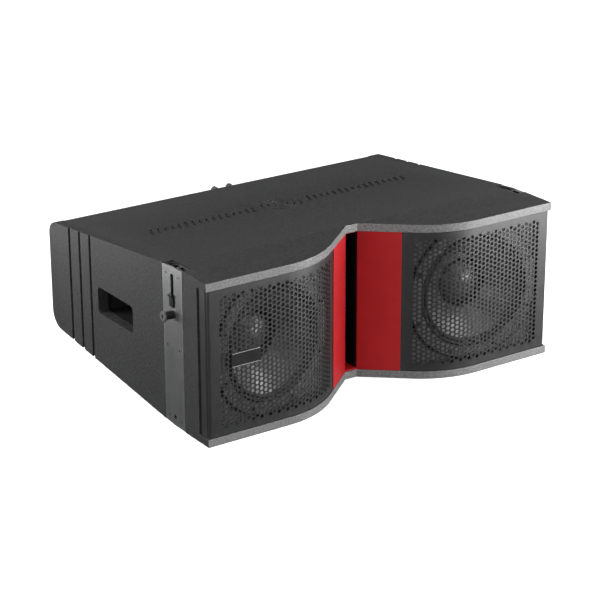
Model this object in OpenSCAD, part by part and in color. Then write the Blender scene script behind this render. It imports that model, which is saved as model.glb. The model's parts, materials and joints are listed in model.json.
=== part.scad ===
// Waisted two-way line array speaker with two 10 inch woofers, a central horn and three-point rigging.
// X is across the front, -Y is the front, +Z is up. The origin is below the middle of the cabinet.

/* [Cabinet] */
// Width across both side panels
body_w = 750; // [740:1:800]
// Height of the front
front_h = 300; // [298:1:306]
// Depth from the front edge to the back of the side panels
body_d = 558; // [550:1:580]
// Depth of the front part, where top and bottom are parallel
flat_d = 111; // [109:0.5:114]
// Slope of the rear part of top and bottom, in degrees
taper = 6; // [5:0.5:7]
// Depth at which top and bottom end behind the rear panel
lid_d = 535.5; // [530:0.5:540]
// Thickness of the top, bottom and rear panels
panel_t = 15; // [15:0.5:16]
// Thickness of a side panel
side_t = 21; // [21:0.5:22]

/* [Front outline] */
// Radius of each rounded lobe in plan
lobe_r = 180; // [170:1:190]
// Distance from the centre line to the centre of a lobe's arc
lobe_x = 207.75; // [205:0.25:212]
// Depth of the notch at the horn slot
notch_d = 108; // [104:1:110]
// Width of the notch, which is the width of the horn slot
notch_w = 25; // [22:1:28]
// Distance from the centre line to the outer edge of a red flare
flare_x = 75; // [74:0.5:76]

/* [Handles] */
// Width of a handle opening
handle_w = 126; // [110:1:130]
// Height of a handle opening
handle_h = 51; // [45:1:56]
// Depth of the middle of a handle opening
handle_mid = 313; // [305:1:320]
// Height of the lower edge of a handle opening
handle_low = 127.5; // [120:0.5:132]

/* [Woofers] */
// Outer diameter of a woofer frame
woofer_dia = 261; // [256:1:262]
// Distance from the centre line to the middle of a woofer
woofer_x = 221.5; // [220:0.5:223]
// Depth of the middle of a woofer's front ring
woofer_mid = 30; // [29:0.5:31]
// Inward turn of each woofer, in degrees
toe = 9.5; // [9:0.5:10]

/* [Rigging] */
// Width of a front rigging plate
rig_w = 65; // [62:1:68]
// Depth of the middle of a front rigging plate
rig_mid = 109.5; // [108:0.5:111]
// Upward travel of a link bar
link_travel = 38; // [30:1:38]
// Height of a lock knob's axis
lock_z = 211; // [209:1:213]
// Outward travel of a lock knob
lock_travel = 5; // [4.5:0.5:5]
// Height of the pivot of the rear link
pivot_z = 232; // [230:1:233]

/* [Hidden] */
$fn = 64;

PAINT = "#3c3c3c";
GRILLE = "#2c2c2e";
RED = "#b01c20";
STEEL = "#b4b6b8";
ZINC = "#c8c6bc";
DARK = "#161616";
PLY = "#b08a5a";

half_w = body_w / 2;
inner_x = half_w - side_t;          // inner face of a side panel
lip_d = 30;                         // top and bottom reach the full width over this depth
tan_t = tan(taper);
slope_t = panel_t / cos(taper);     // vertical thickness of a sloping panel
bend_in = panel_t * tan(taper / 2); // the inner crease is this much nearer the front
tangent = asin(lobe_r / norm([lobe_x - notch_w / 2, lobe_r - notch_d]))
    - atan2(lobe_r - notch_d, lobe_x - notch_w / 2);  // slope of the straight flank in plan
grille_gap = 2;                     // recess of the grille behind the panel edge
grille_t = 1.5;
grille_side = half_w - 3;           // outer face of the grille's return
rear_d = 520;                       // outer face of the rear panel
eye_z = front_h + 18 - link_travel; // height of the link bar's eye when stowed
slot_mid = 110;                     // depth of the slot, link bar and lock axis
ear_in = 14.5;                      // inner face of a rear bracket ear
ear_out = 19.2;
pivot_d = 546.5;
pin_low = 66;                       // height of the lower hole in the rear bracket
link_hole_r = 4.1;

// Basic helpers

function drop(d) = max(0, d - flat_d) * tan_t;
function arc(c, r, a0, a1, n) = [for (i = [0:n]) let (a = a0 + (a1 - a0) * i / n) c + r * [cos(a), sin(a)]];
function reverse(list) = [for (i = [len(list) - 1:-1:0]) list[i]];

// Everything is drawn with Y measured from the front edge, then moved so that Y = 0 is the middle.
module placed() {
    translate([0, -body_d / 2, 0]) children();
}

// side is 1 for the right (+X) and -1 for the left
module on_side(side) {
    if (side > 0)
        children();
    else
        mirror([1, 0, 0]) children();
}

// Extrudes a side view, drawn as [depth, height], from x = a to x = b
module along_x(a, b) {
    translate([a, 0, 0]) rotate([90, 0, 90]) linear_extrude(b - a) children();
}

module block(lo, hi) {
    translate(lo) cube(hi - lo);
}

module x_rod(r, a, b, d, z) {
    translate([a, d, z]) rotate([0, 90, 0]) cylinder(r = r, h = b - a);
}

// Corner points of a rectangle with round corners
function round_rect(lo, hi, r) = concat(
    arc([hi[0] - r, hi[1] - r], r, 0, 90, 6),
    arc([lo[0] + r, hi[1] - r], r, 90, 180, 6),
    arc([lo[0] + r, lo[1] + r], r, 180, 270, 6),
    arc([hi[0] - r, lo[1] + r], r, 270, 360, 6)
);

// Front outline in plan

// Point on the straight flank at a distance x from the centre line, set back by gap
function flank(gap, x) =
    let (t = [lobe_x, lobe_r] + (lobe_r - gap) * [cos(-90 - tangent), sin(-90 - tangent)])
    [x, t[1] - (x - t[0]) * tan(tangent)];

// Right half of the front outline, from x0 to x1, set back by gap
function lobe(gap, x0, x1) = concat(
    [flank(gap, x0)],
    arc([lobe_x, lobe_r], lobe_r - gap, -90 - tangent, -90, 16),
    [[x1, gap]]
);

module plan_outline() {
    right = concat(
        [[notch_w / 2, notch_d]],
        lobe(0, notch_w / 2 + 1, half_w),
        [[half_w, lip_d], [inner_x, lip_d], [inner_x, lid_d]]
    );
    left = [for (p = reverse(right)) [-p[0], p[1]]];
    polygon(concat(right, left));
}

// Side view of the top panel; the bottom panel mirrors it
module top_profile() {
    polygon([
        [0, front_h - panel_t], [flat_d - bend_in, front_h - panel_t],
        [lid_d, front_h - slope_t - drop(lid_d)],
        [lid_d, front_h - drop(lid_d)], [flat_d, front_h], [0, front_h]
    ]);
}

// Space between the top and bottom panels, from depth a to depth b
module inside_profile(a, b) {
    polygon(concat(
        a < flat_d ? [[a, panel_t], [flat_d - bend_in, panel_t]] : [[a, slope_t + drop(a)]],
        [[b, slope_t + drop(b)], [b, front_h - slope_t - drop(b)]],
        a < flat_d
            ? [[flat_d - bend_in, front_h - panel_t], [a, front_h - panel_t]]
            : [[a, front_h - slope_t - drop(a)]]
    ));
}

module mirror_z() {
    translate([0, 0, front_h]) mirror([0, 0, 1]) children();
}

// Cabinet panels

band_mid = 337;   // depth of the middle of the routed band
band_cut = 2.5;   // depth of the routing
bar_step = 14.6;
bar_half_w = 2.6;
bar_first = 62;   // distance from the centre line to the first bar

// One slanted bar of the routed band
module band_bar(x, len) {
    lean = len * 0.18;
    translate([x, band_mid])
        polygon([
            [-bar_half_w - lean, -len / 2], [bar_half_w - lean, -len / 2],
            [bar_half_w + lean, len / 2], [-bar_half_w + lean, len / 2]
        ]);
}

module routed_band() {
    for (side = [-1, 1], i = [0:15])
        band_bar(side * (bar_first + i * bar_step), 16 + 22 * abs(cos(i * 36)));
    for (r = [14, 27, 40])
        translate([0, band_mid]) difference() {
            circle(r = r);
            circle(r = r - 4);
        }
}

module top_panel() {
    color(PAINT) placed() difference() {
        intersection() {
            linear_extrude(front_h) plan_outline();
            along_x(-half_w, half_w) top_profile();
        }
        translate([0, flat_d, front_h]) rotate([-taper, 0, 0]) translate([0, -flat_d, -band_cut])
            linear_extrude(10) routed_band();
    }
}

module bottom_panel() {
    color(PAINT) placed() intersection() {
        linear_extrude(front_h) plan_outline();
        mirror_z() along_x(-half_w, half_w) top_profile();
    }
}

corner_top = 25;
corner_low = 34;
handle_lo = handle_mid - handle_w / 2;
handle_hi = handle_mid + handle_w / 2;
groove_w = 7.5;
groove_cut = 4;
rig_lo = rig_mid - rig_w / 2;
rig_hi = rig_mid + rig_w / 2;
recess_x = inner_x + 3.5;           // bottom of the rigging recess in the side panel
pocket_h = 12;                      // depth of the wider pocket at the top of that recess
tongue_d = 13;                      // depth at which the tongue behind the grille's return starts
tongue_x = half_w - 6;              // outer face of that tongue
groove_first = 401.3;               // depth of the middle of the first side groove
groove_step = 38.6;

// Outline of a side panel, with round rear corners
module side_profile() {
    top_c = [body_d - corner_top, front_h - drop(body_d - corner_top) - corner_top / cos(taper)];
    low_c = [body_d - corner_low, drop(body_d - corner_low) + corner_low / cos(taper)];
    polygon(concat(
        [[lip_d, 0], [flat_d, 0]],
        arc(low_c, corner_low, -90 + taper, 0, 14),
        arc(top_c, corner_top, 0, 90 - taper, 12),
        [[flat_d, front_h], [lip_d, front_h]]
    ));
}

module side_panel() {
    difference() {
        union() {
            along_x(inner_x, half_w) side_profile();
            block([inner_x, tongue_d, panel_t], [tongue_x, lip_d + 1, front_h - panel_t]);
        }
        along_x(inner_x - 1, half_w + 1)
            polygon(round_rect([handle_lo, handle_low], [handle_hi, handle_low + handle_h], 8));
        block([recess_x, rig_lo - 0.6, -1], [half_w + 1, rig_hi + 0.6, front_h + 1]);
        block([inner_x - 1, rig_lo - 0.6, front_h - pocket_h], [half_w + 1, rig_hi + 0.6, front_h + 1]);
        for (i = [0:2])
            translate([half_w - groove_cut, groove_first + i * groove_step - groove_w / 2, -1])
                cube([groove_cut + 1, groove_w, front_h + 2]);
    }
}

module side_panel_left() {
    color(PAINT) placed() on_side(-1) side_panel();
}

module side_panel_right() {
    color(PAINT) placed() side_panel();
}

input_x = 190;     // middle of the input plate
input_z = 150;
input_w = 150;
input_h = 96;
input_rim = 16;    // width of the input plate's edge that bears on the rear panel
bracket_zs = [90, 150, 210];

// Places of the four screws of the input plate
function input_corners() = [for (x = [-1, 1], z = [-1, 1])
    [input_x + x * (input_w / 2 - 8), input_z + z * (input_h / 2 - 8)]];

module pilot_hole(x, z) {
    translate([x, rear_d + 1, z]) rotate([90, 0, 0]) cylinder(r = 2.5, h = 13);
}

module rear_panel() {
    color(PAINT) placed() difference() {
        along_x(-inner_x, inner_x) inside_profile(rear_d - panel_t, rear_d);
        translate([input_x - input_w / 2 + input_rim, rear_d - 30, input_z - input_h / 2 + input_rim])
            cube([input_w - 2 * input_rim, 40, input_h - 2 * input_rim]);
        for (z = bracket_zs)
            pilot_hole(0, z);
        for (p = input_corners())
            pilot_hole(p[0], p[1]);
    }
}

// Moves children to a woofer: local Z runs from the ring's front plane into the cabinet
module at_woofer(side) {
    placed() on_side(side) translate([woofer_x, woofer_mid, front_h / 2]) rotate([-90, 0, -toe]) children();
}

flange_t = 5;      // thickness of the woofer frame's flange
baffle_t = 18;
cutout_r = 118;

module baffle(side) {
    difference() {
        at_woofer(side) translate([0, 0, flange_t]) difference() {
            translate([-200, -200, 0]) cube([400, 400, baffle_t]);
            translate([0, 0, -1]) cylinder(r = cutout_r, h = baffle_t + 2);
            for (a = [22.5:45:359])
                rotate([0, 0, a]) translate([bolt_pcr, 0, -1]) cylinder(r = 2.6, h = baffle_t + 2);
        }
        placed() on_side(side) {
            block([inner_x, -100, -100], [800, 300, 500]);
            block([-300, -100, -100], [flare_x, 300, 500]);
            block([-300, -100, -100], [800, 300, panel_t]);
            block([-300, -100, front_h - panel_t], [800, 300, 500]);
        }
    }
}

module baffle_left() {
    color(PAINT) baffle(-1);
}

module baffle_right() {
    color(PAINT) baffle(1);
}

brace_x = 100;
brace_lo = 130;

module brace() {
    difference() {
        along_x(brace_x, brace_x + panel_t) inside_profile(brace_lo, rear_d - panel_t);
        along_x(brace_x - 1, brace_x + panel_t + 1)
            polygon(round_rect([brace_lo + 60, 75], [rear_d - 75, front_h - 75], 30));
    }
}

module brace_left() {
    color(PLY) placed() on_side(-1) brace();
}

module brace_right() {
    color(PLY) placed() brace();
}

cup_in = 57;       // how far a handle cup reaches in behind the side panel
cup_t = 3;
cup_side = 6;      // room in front of and behind the opening
cup_up = 22;       // finger room above the opening
cup_flange = 10;

module handle_cup() {
    lo = [inner_x - cup_in, handle_lo - cup_side, handle_low - 1.5];
    hi = [inner_x, handle_hi + cup_side, handle_low + handle_h + cup_up];
    wall = [cup_t, cup_t, cup_t];
    difference() {
        union() {
            block(lo - wall, [inner_x, hi[1] + cup_t, hi[2] + cup_t]);
            block(
                [inner_x - cup_t, lo[1] - cup_flange, lo[2] - cup_flange],
                [inner_x, hi[1] + cup_flange, hi[2] + cup_flange]
            );
        }
        block(lo, hi + [1, 0, 0]);
    }
}

module handle_cup_left() {
    color(DARK) placed() on_side(-1) handle_cup();
}

module handle_cup_right() {
    color(DARK) placed() handle_cup();
}

// Grilles and badge

return_d = 28;     // depth at which the grille's side return ends
bend_r = 3;
joggle = 1.5;      // step in the return, just behind the bend
joggle_d = 9.5;    // depth of that step

// Front sheet with a bent side return, which steps out behind the bend
module grille() {
    bend_x = grille_side - joggle - bend_r;
    bend_d = grille_gap + bend_r;
    outer = concat(
        lobe(grille_gap, flare_x + 2, bend_x),
        arc([bend_x, bend_d], bend_r, -90, 0, 5),
        [[grille_side - joggle, joggle_d - 1], [grille_side, joggle_d], [grille_side, return_d]]
    );
    inner = concat(
        [[grille_side - grille_t, return_d], [grille_side - grille_t, joggle_d + grille_t - 0.3]],
        [[grille_side - joggle - grille_t, joggle_d + grille_t - 1.3]],
        arc([bend_x, bend_d], bend_r - grille_t, 0, -90, 5),
        reverse(lobe(grille_gap + grille_t, flare_x + 2, bend_x))
    );
    translate([0, 0, panel_t + 1]) linear_extrude(front_h - 2 * panel_t - 2) polygon(concat(outer, inner));
}

module grille_left() {
    color(GRILLE) placed() on_side(-1) grille();
}

module grille_right() {
    color(GRILLE) placed() grille();
}

module badge_plate() {
    color(DARK) placed() on_side(-1)
        translate([296, grille_gap, 150]) rotate([90, 0, 0]) linear_extrude(1.6)
            polygon(round_rect([-30, -13.5], [30, 13.5], 2));
}

// Horn and high frequency driver

flare_t = 6;
flare_gap = 0.8;   // recess of the flares behind the panel edge
slot_t = 4;        // thickness of the slot's side walls
slot_floor = 3;    // height of the slot's floor above the bottom panel
slot_ceiling = 1;  // depth of the slot's ceiling below the top panel
slot_end = 150;    // depth at which the horn moulding meets the waveguide

// Red moulding: two flared faces, their outer returns, and the sides, floor and ceiling of the slot
module horn_flare() {
    face = [
        [notch_w / 2, notch_d + flare_gap], flank(flare_gap, flare_x), [flare_x, 84], [flare_x - 4, 84],
        flank(flare_t, flare_x - 4), [notch_w / 2 + slot_t, notch_d + 8],
        [notch_w / 2 + slot_t, slot_end], [notch_w / 2, slot_end]
    ];
    color(RED) placed() {
        intersection() {
            union() {
                for (side = [-1, 1])
                    on_side(side) linear_extrude(front_h) polygon(face);
                block(
                    [-notch_w / 2, notch_d + flare_gap, 0],
                    [notch_w / 2, slot_end, panel_t + slot_floor]
                );
                block(
                    [-notch_w / 2, notch_d + flare_gap, front_h - panel_t - slot_ceiling],
                    [notch_w / 2, slot_end, front_h]
                );
            }
            along_x(-100, 100) inside_profile(10, slot_end);
        }
    }
}

throat_r = 17.8;
throat_h = 32;     // height of the waveguide's passage where it meets the driver
wave_end = 262;    // depth of the waveguide's rear flange
wave_gap = 24;     // distance of the waveguide's front flange from the cabinet's top and bottom
driver_bolt = 51;  // distance of the driver's bolts from its axis

module waveguide() {
    color(DARK) placed() difference() {
        union() {
            along_x(-notch_w / 2 - slot_t, notch_w / 2 + slot_t)
                polygon([
                    [slot_end, wave_gap - 4], [wave_end, 96], [wave_end, front_h - 96],
                    [slot_end, front_h - wave_gap + 4]
                ]);
            block(
                [-notch_w / 2 - 14, slot_end, wave_gap],
                [notch_w / 2 + 14, slot_end + 5, front_h - wave_gap]
            );
            translate([0, wave_end, front_h / 2]) rotate([-90, 0, 0]) cylinder(r = 62, h = 8);
        }
        along_x(-notch_w / 2, notch_w / 2)
            polygon([
                [slot_end - 1, wave_gap + 1], [wave_end - 12, front_h / 2 - throat_h / 2],
                [wave_end + 9, front_h / 2 - throat_h / 2], [wave_end + 9, front_h / 2 + throat_h / 2],
                [wave_end - 12, front_h / 2 + throat_h / 2], [slot_end - 1, front_h - wave_gap - 1]
            ]);
        for (a = [45:90:359])
            translate([0, wave_end - 1, front_h / 2]) rotate([-90, 0, 0]) rotate([0, 0, a])
                translate([driver_bolt, 0, 0]) cylinder(r = 3.1, h = 12);
    }
}

module compression_driver() {
    color(DARK) placed() translate([0, wave_end + 8, front_h / 2]) rotate([-90, 0, 0]) rotate_extrude()
        polygon([
            [throat_r, 0], [62, 0], [62, 8], [78, 8], [78, 52], [70, 56], [70, 66], [60, 74], [0, 74],
            [0, 60], [throat_r, 46]
        ]);
}

// Woofers, each drawn about its own axis

bolt_pcr = 122.25;
bolt_r = 2.5;
cone_r = 96;
coil_r = 32.5;
cone_top = 5;
cone_low = 66;

module woofer_frame() {
    difference() {
        rotate_extrude() polygon([
            [109.5, 0], [woofer_dia / 2, 0], [woofer_dia / 2, flange_t], [115, flange_t], [114, 22],
            [82, 84], [78, 88], [78, 90.5], [40, 90.5], [40, 87.5], [73, 87.5],
            [78, 82], [101, 36], [108, 20], [109.5, 12]
        ]);
        for (a = [22.5:45:359])
            rotate([0, 0, a]) translate([bolt_pcr, 0, -1]) cylinder(r = bolt_r + 0.3, h = flange_t + 2);
        for (a = [0:60:359])
            rotate([0, 0, a]) translate([0, -24, 26]) cube([150, 48, 52]);
    }
}

// Rolled edge between cone and frame, a formula for two small rolls
module woofer_surround() {
    n = 18;
    r0 = cone_r - 2;
    r1 = 109;
    function roll(i) = [r0 + (r1 - r0) * i / n, 4.2 - 4.6 * abs(sin(360 * i / n))];
    top = [for (i = [0:n]) roll(i)];
    low = [for (i = [n:-1:0]) roll(i) + [0, 0.9]];
    rotate_extrude() polygon(concat(top, low));
}

// Cone of slightly curved section
module woofer_cone() {
    n = 10;
    function wall(i, lift) =
        let (t = i / n)
        [
            cone_r - (cone_r - coil_r - 0.9) * t,
            cone_top + lift + (cone_low - cone_top) * (t - 0.1 * sin(180 * t))
        ];
    rotate_extrude() polygon(concat([for (i = [0:n]) wall(i, 0.2)], [for (i = [n:-1:0]) wall(i, 1.6)]));
}

cap_r = 54;        // radius of the dome that the dust cap is part of
cap_half = 45.6;   // half of the dome's angle
cap_base = 58;

module woofer_cap() {
    n = 10;
    function dome(i, r) =
        [r * sin(cap_half * i / n), cap_base + cap_r * cos(cap_half) - r * cos(cap_half * i / n)];
    rotate_extrude()
        polygon(concat([for (i = [0:n]) dome(i, cap_r)], [for (i = [n:-1:0]) dome(i, cap_r - 1)]));
}

module woofer_spider() {
    n = 24;
    r0 = coil_r + 0.9;
    r1 = 75.5;
    function wave(i) = [r0 + (r1 - r0) * i / n, 81 + 1.5 * sin(i * 360 * 4 / n)];
    rotate_extrude() polygon(concat([for (i = [0:n]) wave(i)], [for (i = [n:-1:0]) wave(i) + [0, 0.7]]));
}

module woofer_coil() {
    difference() {
        translate([0, 0, cone_low - 2]) cylinder(r = coil_r + 0.7, h = 42);
        translate([0, 0, cone_low - 3]) cylinder(r = coil_r - 0.2, h = 44);
    }
}

module woofer_magnet() {
    difference() {
        translate([0, 0, 98.5]) cylinder(r = 78, h = 20);
        translate([0, 0, 97]) cylinder(r = 40, h = 24);
    }
}

// Front plate and T yoke, two separate steel pieces
module woofer_steel() {
    difference() {
        translate([0, 0, 90.5]) cylinder(r = 74, h = 8);
        translate([0, 0, 89]) cylinder(r = coil_r + 1.5, h = 12);
    }
    rotate_extrude() polygon([
        [8, 90], [coil_r - 1.2, 90], [coil_r - 1.2, 118.5], [74, 118.5], [74, 124], [70, 127], [8, 127]
    ]);
}

module frame_left() {
    color(DARK) at_woofer(-1) woofer_frame();
}

module frame_right() {
    color(DARK) at_woofer(1) woofer_frame();
}

module surround_left() {
    color(DARK) at_woofer(-1) woofer_surround();
}

module surround_right() {
    color(DARK) at_woofer(1) woofer_surround();
}

module cone_left() {
    color("#3a3a3a") at_woofer(-1) woofer_cone();
}

module cone_right() {
    color("#3a3a3a") at_woofer(1) woofer_cone();
}

module dust_cap_left() {
    color("#303030") at_woofer(-1) woofer_cap();
}

module dust_cap_right() {
    color("#303030") at_woofer(1) woofer_cap();
}

module spider_left() {
    color("goldenrod") at_woofer(-1) woofer_spider();
}

module spider_right() {
    color("goldenrod") at_woofer(1) woofer_spider();
}

module voice_coil_left() {
    color("#8a4a24") at_woofer(-1) woofer_coil();
}

module voice_coil_right() {
    color("#8a4a24") at_woofer(1) woofer_coil();
}

module magnet_left() {
    color(DARK) at_woofer(-1) woofer_magnet();
}

module magnet_right() {
    color(DARK) at_woofer(1) woofer_magnet();
}

module motor_steel_left() {
    color(STEEL) at_woofer(-1) woofer_steel();
}

module motor_steel_right() {
    color(STEEL) at_woofer(1) woofer_steel();
}

module woofer_bolts() {
    color(DARK) for (side = [-1, 1])
        at_woofer(side) for (a = [22.5:45:359])
            rotate([0, 0, a]) translate([bolt_pcr, 0, 0]) difference() {
                rotate_extrude() polygon([
                    [0, -3], [3.4, -3], [4.6, -1.6], [4.6, 0], [bolt_r, 0], [bolt_r, 26], [0, 26]
                ]);
                translate([0, 0, -4]) cylinder(r = 1.7, h = 2.6, $fn = 6);
            }
}

// Front rigging, drawn for the right side

plate_t = 3;
guide_x = inner_x + 4;              // inner face of the link guide
plate_x = half_w - plate_t;
bar_lo = guide_x + 3;
bar_hi = bar_lo + 9;
bar_half = 7.5;
bar_play = 0.4;                     // room round the link bar in its channel
window_x = plate_x - 3.5;           // outer face of the windows in the top of the guide
wall_t = 3.5;                       // walls between the windows and the link bar's channel
guide_gap = 2.5;                    // distance of the guide's ends from the cabinet's top and bottom
rim_x = guide_x - 1.8;              // inner face of the wider rim at the top of the guide
screw_zs = [16, 149.4, 282.7];
screw_off = 20.2;
slot_low = 222;
slot_top = 285;
slot_r = 5;
pin_z = 18;
pin_r = 4.2;

// Face of the rigging hardware, following the crease, set back by gap at top and bottom
module rig_face(gap) {
    polygon([
        [rig_lo, gap], [flat_d, gap], [rig_hi, gap + drop(rig_hi)],
        [rig_hi, front_h - gap - drop(rig_hi)], [flat_d, front_h - gap], [rig_lo, front_h - gap]
    ]);
}

module screw_holes(r, a, b) {
    for (z = screw_zs, s = [-1, 1])
        x_rod(r, a, b, slot_mid + s * screw_off, z);
}

module rig_plate() {
    difference() {
        along_x(plate_x, half_w) rig_face(1.5);
        block(
            [plate_x - 1, slot_mid - slot_r, slot_low + slot_r],
            [half_w + 1, slot_mid + slot_r, slot_top - slot_r]
        );
        x_rod(slot_r, plate_x - 1, half_w + 1, slot_mid, slot_low + slot_r);
        x_rod(slot_r, plate_x - 1, half_w + 1, slot_mid, slot_top - slot_r);
        x_rod(5.5, plate_x - 1, half_w + 1, slot_mid, lock_z);
        x_rod(pin_r, plate_x - 1, half_w + 1, slot_mid, pin_z);
        screw_holes(2.6, plate_x - 1, half_w + 1);
        for (z = screw_zs, s = [-1, 1])
            translate([half_w - 2.4, slot_mid + s * screw_off, z]) rotate([0, 90, 0]) rotate_extrude()
                polygon([[0, 0], [2.6, 0], [5.1, 2.5], [5.1, 5], [0, 5]]);
    }
}

module link_guide() {
    difference() {
        union() {
            along_x(guide_x, plate_x) rig_face(guide_gap);
            intersection() {
                along_x(rim_x, guide_x + 1) rig_face(guide_gap);
                block([rim_x, rig_lo, front_h - pocket_h + 1], [guide_x + 1, rig_hi, front_h]);
            }
        }
        block(
            [bar_lo - bar_play, slot_mid - bar_half - bar_play, -1],
            [plate_x + 1, slot_mid + bar_half + bar_play, front_h + 1]
        );
        block([bar_lo - 1, rig_lo + 2.5, 248], [window_x, slot_mid - bar_half - wall_t, front_h + 1]);
        block([bar_lo, slot_mid + bar_half + wall_t, 262], [window_x, rig_hi - 9, front_h + 1]);
        x_rod(pin_r, guide_x - 1, plate_x, slot_mid, pin_z);
        screw_holes(2.5, plate_x - 3.4, plate_x + 1);
    }
}

link_low = 145;
link_top = front_h - 7;

module link_bar() {
    difference() {
        union() {
            block([bar_lo, slot_mid - bar_half, link_low], [bar_hi, slot_mid + bar_half, link_top - 4]);
            along_x(bar_lo, bar_hi) polygon([
                [slot_mid - bar_half, link_top - 4], [slot_mid + bar_half, link_top - 4],
                [slot_mid + bar_half - 4, link_top], [slot_mid - bar_half + 4, link_top]
            ]);
        }
        x_rod(link_hole_r, bar_lo - 1, bar_hi + 1, slot_mid, eye_z);
        block(
            [bar_lo - 1, slot_mid - slot_r, lock_z - link_travel],
            [bar_hi + 1, slot_mid + slot_r, lock_z]
        );
        for (z = [lock_z - link_travel, lock_z])
            x_rod(slot_r, bar_lo - 1, bar_hi + 1, slot_mid, z);
    }
}

tab_low = 226;
tab_top = 246;
tab_w = 12;
stem_r = 4.1;

module link_tab() {
    union() {
        block(
            [bar_hi, slot_mid - stem_r, tab_low + stem_r],
            [half_w + 1, slot_mid + stem_r, tab_top - stem_r]
        );
        for (z = [tab_low + stem_r, tab_top - stem_r])
            x_rod(stem_r, bar_hi, half_w + 1, slot_mid, z);
        translate([0, slot_mid - tab_w / 2, 0]) rotate([90, 0, 0]) mirror([0, 0, 1]) linear_extrude(tab_w)
            polygon([
                [half_w + 0.6, tab_low - 1], [half_w + 2.4, tab_low - 1], [half_w + 3.2, tab_low],
                [half_w + 3.2, tab_top - 4], [half_w + 6, tab_top - 1],
                [half_w + 6, tab_top + 2], [half_w + 0.6, tab_top + 2]
            ]);
    }
}

// Turned parts of the lock, drawn along local Z with Z = 0 at x = 0
module turned_x(points) {
    translate([0, slot_mid, lock_z]) rotate([0, 90, 0]) rotate_extrude() polygon(points);
}

bush_in = plate_x - 1;
bush_out = half_w + 12.6;
chamber_r = 4.6;

module lock_bush() {
    turned_x([
        [chamber_r, bush_in], [7.2, bush_in], [7.2, plate_x], [5.45, plate_x], [5.45, bush_out],
        [3.06, bush_out], [3.06, bush_out - 3], [chamber_r, bush_out - 3]
    ]);
}

knob_lo = half_w + 1.2;
knob_hi = half_w + 17;
ring_r = 9.5;
cap_t = 3.6;                        // thickness of the plunger's head on the knob
tip_x = bar_hi + 1 - lock_travel;   // the tip leaves the link bar when the knob is pulled out

module lock_knob() {
    difference() {
        turned_x([
            [5.8, knob_lo], [7.5, knob_lo], [7.5, knob_hi],
            [3, knob_hi], [3, knob_hi - 4], [5.8, knob_hi - 4]
        ]);
        for (i = [0:11])
            translate([0, slot_mid, lock_z]) rotate([i * 30, 0, 0])
                block([knob_lo + 3, -0.6, 6.9], [knob_hi - 3, 0.6, 9]);
    }
}

module lock_plunger() {
    difference() {
        turned_x([
            [0, tip_x], [4, tip_x], [4, plate_x + 1], [4.2, plate_x + 1],
            [4.2, plate_x + 3], [3, plate_x + 3], [3, knob_hi], [ring_r, knob_hi],
            [ring_r, knob_hi + cap_t - 1.2], [ring_r - 1.2, knob_hi + cap_t], [0, knob_hi + cap_t]
        ]);
        x_rod(4, knob_hi + 1, knob_hi + cap_t + 1, slot_mid, lock_z, $fn = 6);
    }
}

// Round wire swept along points; sides is the number of facets round it
function unit(v) = v / norm(v);
function tangent_at(path, i) =
    let (n = len(path) - 1)
    unit(path[min(i + 1, n)] - path[max(i - 1, 0)]);
function ring_at(path, i, r, sides, ref) =
    let (t = tangent_at(path, i), u = unit(cross(t, ref)), v = cross(t, u))
    [for (k = [0:sides - 1]) path[i] + r * (cos(360 * k / sides) * u + sin(360 * k / sides) * v)];

module wire(path, r, sides, ref) {
    n = len(path);
    points = [for (i = [0:n - 1]) each ring_at(path, i, r, sides, ref)];
    walls = [for (i = [0:n - 2], k = [0:sides - 1])
        let (a = i * sides + k, b = i * sides + (k + 1) % sides)
        each [[a, b, b + sides], [a, b + sides, a + sides]]];
    first = [for (k = [sides - 1:-1:0]) k];
    last = [for (k = [0:sides - 1]) (n - 1) * sides + k];
    polyhedron(points, concat([first], walls, [last]));
}

spring_lo = plate_x + 3.6;
spring_hi = bush_out - 3.6;
spring_turns = 4;
spring_r = 3.8;
spring_wire_r = 0.3;

module lock_spring() {
    steps = spring_turns * 12;
    function turn(i) = [
        spring_lo + (spring_hi - spring_lo) * i / steps,
        slot_mid + spring_r * cos(i * 30),
        lock_z + spring_r * sin(i * 30)
    ];
    wire([for (i = [0:steps]) turn(i)], spring_wire_r, 6, [1, 0, 0]);
}

module rig_plate_left() {
    color(STEEL) placed() on_side(-1) rig_plate();
}

module rig_plate_right() {
    color(STEEL) placed() rig_plate();
}

module link_guide_left() {
    color(ZINC) placed() on_side(-1) link_guide();
}

module link_guide_right() {
    color(ZINC) placed() link_guide();
}

module link_bar_left() {
    color(DARK) placed() on_side(-1) link_bar();
}

module link_bar_right() {
    color(DARK) placed() link_bar();
}

module link_tab_left() {
    color(DARK) placed() on_side(-1) link_tab();
}

module link_tab_right() {
    color(DARK) placed() link_tab();
}

module lock_bush_left() {
    color(STEEL) placed() on_side(-1) lock_bush();
}

module lock_bush_right() {
    color(STEEL) placed() lock_bush();
}

module lock_knob_left() {
    color(DARK) placed() on_side(-1) lock_knob();
}

module lock_knob_right() {
    color(DARK) placed() lock_knob();
}

module lock_plunger_left() {
    color(STEEL) placed() on_side(-1) lock_plunger();
}

module lock_plunger_right() {
    color(STEEL) placed() lock_plunger();
}

module lock_spring_left() {
    color(STEEL) placed() on_side(-1) lock_spring();
}

module lock_spring_right() {
    color(STEEL) placed() lock_spring();
}

// Countersunk screws of the rigging plates, the rear bracket and the input plate

module screw(length) {
    difference() {
        rotate_extrude() polygon([[0, 0], [5, 0], [2.4, -2.6], [2.4, -length], [0, -length]]);
        translate([0, 0, -1.5]) cylinder(r = 1.8, h = 3, $fn = 6);
    }
}

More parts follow.
